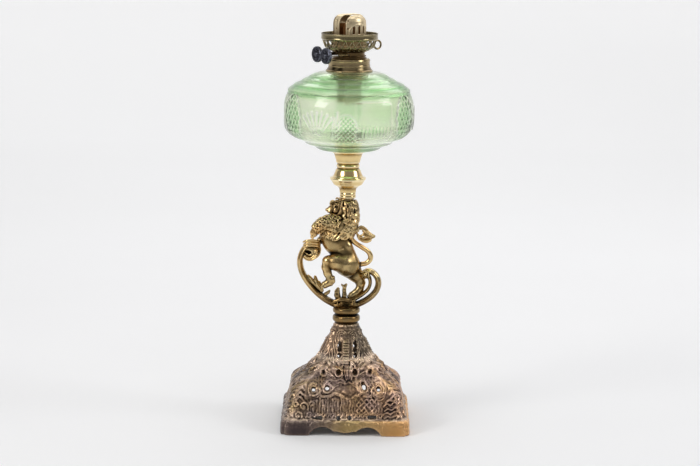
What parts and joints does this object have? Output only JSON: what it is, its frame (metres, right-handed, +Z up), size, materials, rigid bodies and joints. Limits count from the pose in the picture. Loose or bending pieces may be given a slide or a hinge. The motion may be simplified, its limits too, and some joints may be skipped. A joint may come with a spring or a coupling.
{
  "type": "kerosene lamp",
  "caption": "Oil lamp: square openwork foot, rampant lion stem on scrolls, turned brass neck, pressed green glass font, and a flat-wick burner with gallery, hood, winders and extinguisher.",
  "frame": {"origin": "centre of the square foot, on the surface the lamp stands on", "axes": "+Z up the lamp, +X to the right of a viewer who sees the lion from its side facing left, +Y away from that viewer"},
  "size_m": [0.1524, 0.1524, 0.483],
  "materials": {
    "bronzed_iron": "worn bronze and gilt paint over iron",
    "antique_brass": "antiqued, dark in the recesses",
    "polished_brass": "bright polished",
    "aged_brass": "aged, satin",
    "pale_brass": "pale, cleaned",
    "browned_brass": "browned by heat",
    "steel": "dull",
    "green_glass": "pressed, pale green",
    "cement": "matt plaster",
    "wick_cotton": "woven cotton",
    "black_knob": "blackened, worn"
  },
  "bodies": {
    "stand": {"base_wall_front": "bronzed_iron", "base_wall_right": "bronzed_iron", "base_wall_back": "bronzed_iron", "base_wall_left": "bronzed_iron", "base_cone": "bronzed_iron", "base_washer": "steel", "base_nut": "steel", "lower_stud": "steel", "stem_knop": "antique_brass", "scroll_bracket": "antique_brass", "lion_figure": "antique_brass", "lion_cap": "polished_brass", "upper_stud": "steel", "stem_dish": "polished_brass", "font_connector": "polished_brass", "connector_cement": "cement", "font": "green_glass", "collar_cement": "cement", "font_collar": "aged_brass"},
    "burner": {"burner_body": "aged_brass", "burner_plate": "aged_brass", "air_screen": "aged_brass", "gallery": "aged_brass", "wick_tube_front": "browned_brass", "wick_tube_rear": "browned_brass", "spindle_guide_front": "aged_brass", "spindle_guide_rear": "aged_brass", "lever_bracket": "aged_brass", "lever_pin": "steel"},
    "hood": {"hood": "pale_brass"},
    "wick_front": {"wick_front": "wick_cotton"},
    "wick_rear": {"wick_rear": "wick_cotton"},
    "winder_front": {"spindle_front": "steel", "feed_wheels_front": "steel", "winder_knob_front": "black_knob"},
    "winder_rear": {"spindle_rear": "steel", "feed_wheels_rear": "steel", "winder_knob_rear": "black_knob"},
    "lever": {"extinguisher_lever": "pale_brass"},
    "snuffer": {"snuffer_sleeve_front": "browned_brass", "snuffer_sleeve_rear": "browned_brass", "snuffer_bridge": "browned_brass"}
  },
  "joints": [
    {"name": "burner_lift", "type": "slide", "parent": "stand", "child": "burner", "axis": [0, 0, 1], "range_m": [0, 0.11]},
    {"name": "hood_lift", "type": "slide", "parent": "burner", "child": "hood", "axis": [0, 0, 1], "range_m": [0, 0.035]},
    {"name": "winder_front_spin", "type": "hinge", "parent": "burner", "child": "winder_front", "pos_m": [0.00729, -0.01003, 0.437], "axis": [-0.809, -0.5878, 0], "range_deg": [-190, 190]},
    {"name": "winder_rear_spin", "type": "hinge", "parent": "burner", "child": "winder_rear", "pos_m": [-0.00729, 0.01003, 0.437], "axis": [-0.809, -0.5878, 0], "range_deg": [-190, 190]},
    {"name": "wick_front_rise", "type": "slide", "parent": "burner", "child": "wick_front", "axis": [0, 0, 1], "range_m": [-0.01, 0.01]},
    {"name": "wick_rear_rise", "type": "slide", "parent": "burner", "child": "wick_rear", "axis": [0, 0, 1], "range_m": [-0.01, 0.01]},
    {"name": "lever_press", "type": "hinge", "parent": "burner", "child": "lever", "pos_m": [0.01658, 0.01205, 0.4435], "axis": [-0.5878, 0.809, 0], "range_deg": [0, 15]},
    {"name": "snuffer_rise", "type": "slide", "parent": "burner", "child": "snuffer", "axis": [0, 0, 1], "range_m": [0, 0.005]}
  ],
  "couplings": [
    {"joint": "wick_front_rise", "follows": "winder_front_spin", "m_per_rad": -0.0029},
    {"joint": "wick_rear_rise", "follows": "winder_rear_spin", "m_per_rad": 0.0029},
    {"joint": "snuffer_rise", "follows": "lever_press", "m_per_rad": 0.0185}
  ]
}
